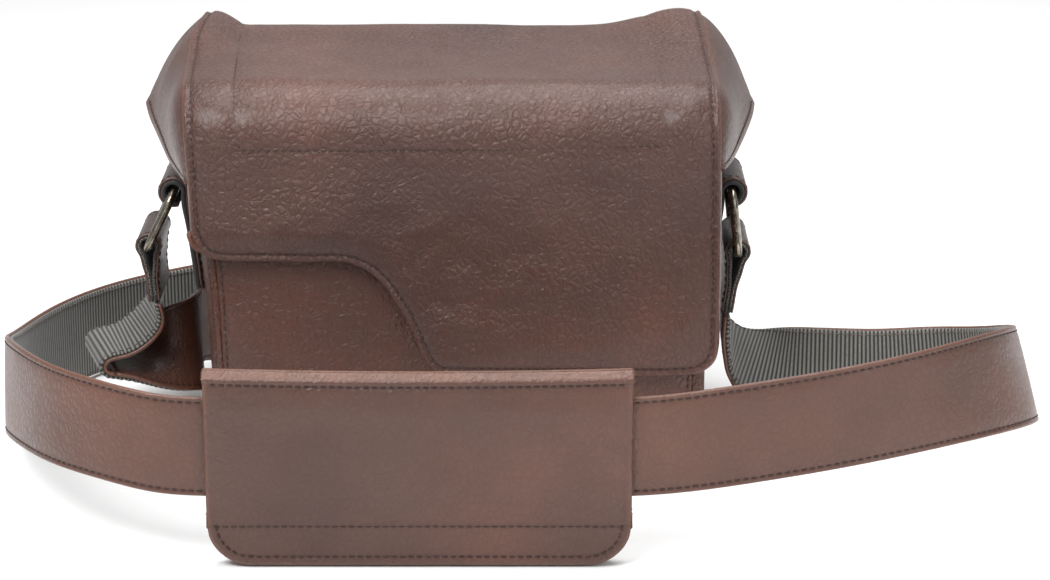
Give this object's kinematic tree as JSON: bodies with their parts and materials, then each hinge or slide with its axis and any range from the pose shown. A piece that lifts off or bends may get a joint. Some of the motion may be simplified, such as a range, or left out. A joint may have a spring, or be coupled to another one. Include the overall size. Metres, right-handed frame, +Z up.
{
  "type": "camera bag",
  "caption": "Small leather camera bag with a hinged lid, a lifting magnet flap, side ears, swinging strap rings and a shoulder strap carrying a sliding pad.",
  "frame": {"origin": "centre of the bag body's underside, on the surface it stands on", "axes": "+Z up, -Y out of the front flap, +X towards the bag's right side seen from the front"},
  "size_m": [0.5354, 0.3492, 0.2021],
  "materials": {
    "bag_leather": "pebbled, satin",
    "strap_leather": "smooth, satin",
    "pad_leather": "smooth, satin",
    "webbing": "ribbed weave",
    "ring_metal": "gunmetal, polished",
    "magnet_steel": "plated",
    "board": "matt",
    "lining": "brushed fabric over foam"
  },
  "bodies": {
    "bag": {"base_panel": "bag_leather", "base_board": "board", "front_panel": "bag_leather", "back_panel": "bag_leather", "rim_binding": "bag_leather", "lining_base": "lining", "lining_front": "lining", "lining_back": "lining", "lining_left": "lining", "lining_right": "lining", "gusset_left": "bag_leather", "gusset_right": "bag_leather", "side_tab_left": "bag_leather", "side_tab_right": "bag_leather", "body_magnet": "magnet_steel", "body_magnet_washer": "magnet_steel", "strap_leather": "strap_leather", "strap_webbing": "webbing", "strap_leather_left_end": "strap_leather", "strap_webbing_left_end": "webbing", "strap_leather_right_end": "strap_leather", "strap_webbing_right_end": "webbing"},
    "lid": {"lid_panel": "bag_leather", "lid_stiffener": "board", "lid_lining": "lining", "lid_ear_left": "bag_leather", "lid_ear_right": "bag_leather"},
    "flap": {"flap_panel": "bag_leather", "flap_lining": "lining", "flap_magnet": "magnet_steel"},
    "left_ring": {"ring_left": "ring_metal", "strap_tab_left": "strap_leather"},
    "right_ring": {"ring_right": "ring_metal", "strap_tab_right": "strap_leather"},
    "shoulder_pad": {"pad_front": "pad_leather", "pad_back": "pad_leather", "pad_upper_welt": "pad_leather", "pad_lower_welt": "pad_leather"},
    "left_divider": {"divider_left": "lining"},
    "right_divider": {"divider_right": "lining"}
  },
  "joints": [
    {"name": "lid_hinge", "type": "hinge", "parent": "bag", "child": "lid", "pos_m": [0, 0.0679, 0.1805], "axis": [-1, 0, 0], "range_deg": [0, 115]},
    {"name": "flap_lift", "type": "hinge", "parent": "lid", "child": "flap", "pos_m": [0, -0.0738, 0.1503], "axis": [-1, 0, 0], "range_deg": [0, 105]},
    {"name": "left_ring_swing", "type": "hinge", "parent": "bag", "child": "left_ring", "pos_m": [-0.1497, 0, 0.133], "axis": [0, 1, 0], "range_deg": [-14, 20], "deforming": ["strap_leather_left_end", "strap_webbing_left_end"]},
    {"name": "right_ring_swing", "type": "hinge", "parent": "bag", "child": "right_ring", "pos_m": [0.1435, 0, 0.133], "axis": [0, -1, 0], "range_deg": [-3, 22], "deforming": ["strap_leather_right_end", "strap_webbing_right_end"]},
    {"name": "pad_slide", "type": "slide", "parent": "bag", "child": "shoulder_pad", "axis": [1, 0, 0], "range_m": [-0.012, 0.012]},
    {"name": "left_divider_slide", "type": "slide", "parent": "bag", "child": "left_divider", "axis": [1, 0, 0], "range_m": [-0.02, 0.02]},
    {"name": "right_divider_slide", "type": "slide", "parent": "bag", "child": "right_divider", "axis": [1, 0, 0], "range_m": [-0.02, 0.02]}
  ]
}
